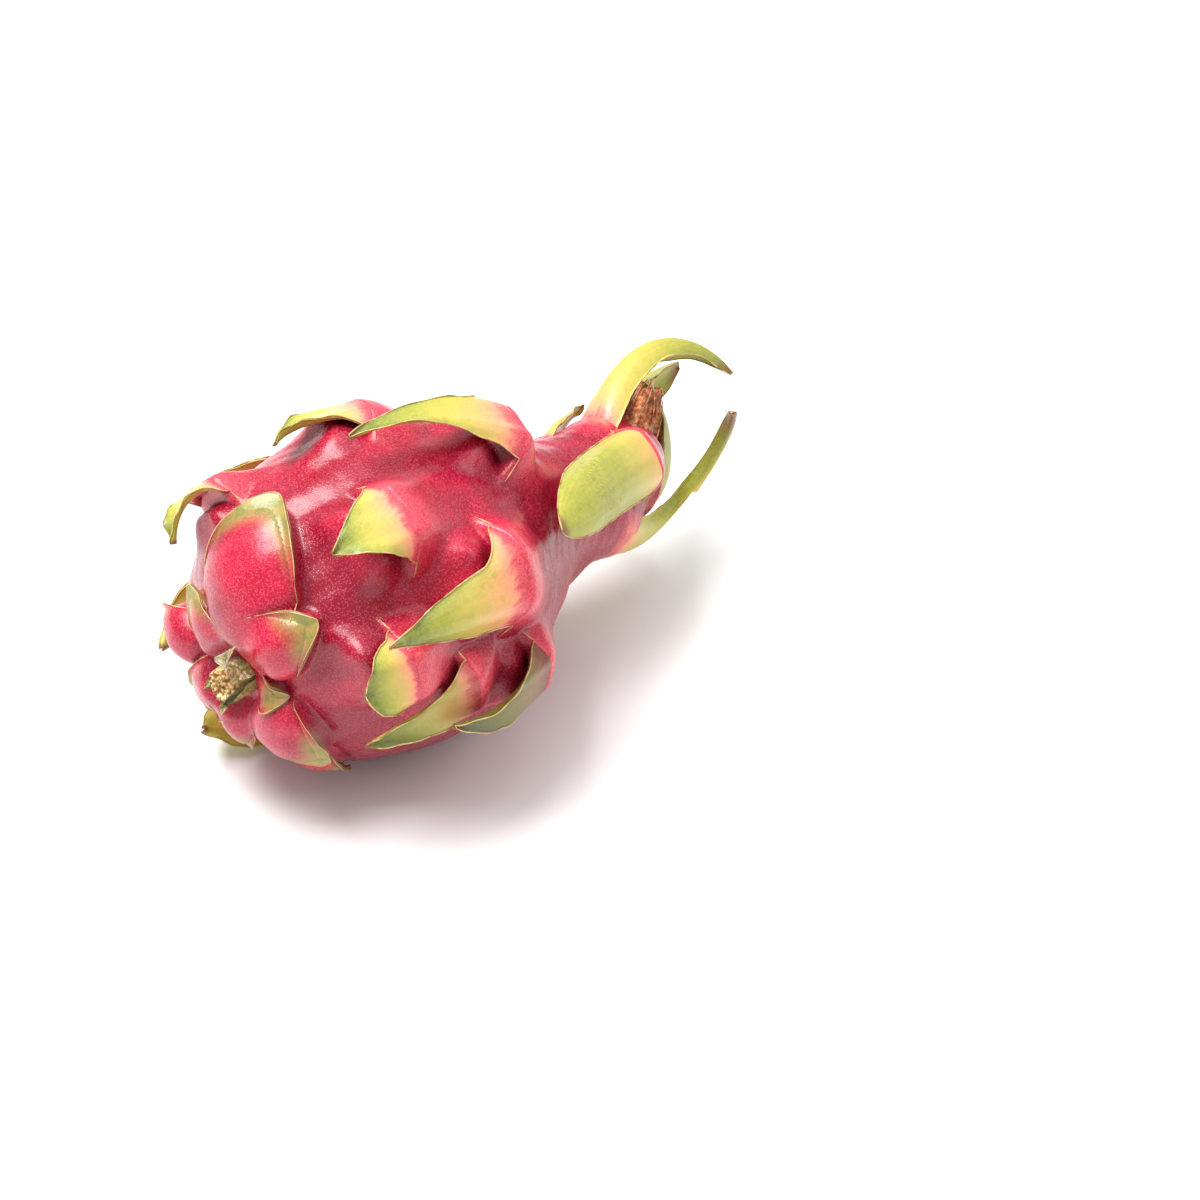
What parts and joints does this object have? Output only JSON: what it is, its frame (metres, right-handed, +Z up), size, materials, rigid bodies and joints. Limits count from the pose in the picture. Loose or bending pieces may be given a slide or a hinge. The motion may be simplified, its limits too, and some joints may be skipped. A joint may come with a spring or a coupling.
{
  "type": "dragon fruit",
  "caption": "Whole red dragon fruit lying on its side, with folded-back leafy bracts, a cut stalk and the dried end of its flower.",
  "frame": {"origin": "middle of the bounding box's base, on the surface that the fruit lies on", "axes": "+Z up; +X along the fruit from the cut stalk to the dried flower; the side with the large folded bract faces -Y"},
  "size_m": [0.2202, 0.1274, 0.1059],
  "materials": {
    "skin": "waxy semi-gloss fruit skin",
    "bract": "waxy green bract, pink at the root",
    "scale": "waxy pink scale with a green edge",
    "stalk": "dry cut stalk",
    "dry": "dried, fibrous"
  },
  "bodies": {
    "root": {"fruit_body": "skin", "stem_stub": "stalk", "flower_remnant": "dry", "bract_top_back": "bract", "bract_left_curled": "bract", "bract_shoulder": "bract", "bract_centre": "bract", "bract_side_large": "bract", "bract_top_long": "bract", "bract_side_low": "bract", "bract_side_narrow": "bract", "bract_under_dark": "bract", "bract_neck_fold": "bract", "bract_arch": "bract", "bract_tail": "bract", "bract_neck_back": "bract", "bract_crown_front": "bract", "bract_crown_far": "bract", "bract_crown_side": "bract", "scale_stem_left": "scale", "scale_stem_outer": "scale", "scale_stem_far": "scale", "scale_stem_right": "scale", "scale_stem_small": "scale", "scale_stem_low": "scale", "scale_under_large": "scale", "scale_under_dark": "scale", "bract_far_stem": "bract", "bract_far_low": "bract", "bract_far_top": "bract", "bract_far_middle": "bract", "bract_far_neck": "bract", "bract_far_under": "bract", "bract_neck_under": "bract", "stem_sepal_upper": "dry", "stem_sepal_left": "dry", "stem_sepal_right": "dry", "stem_sepal_lower": "dry"}
  },
  "joints": []
}
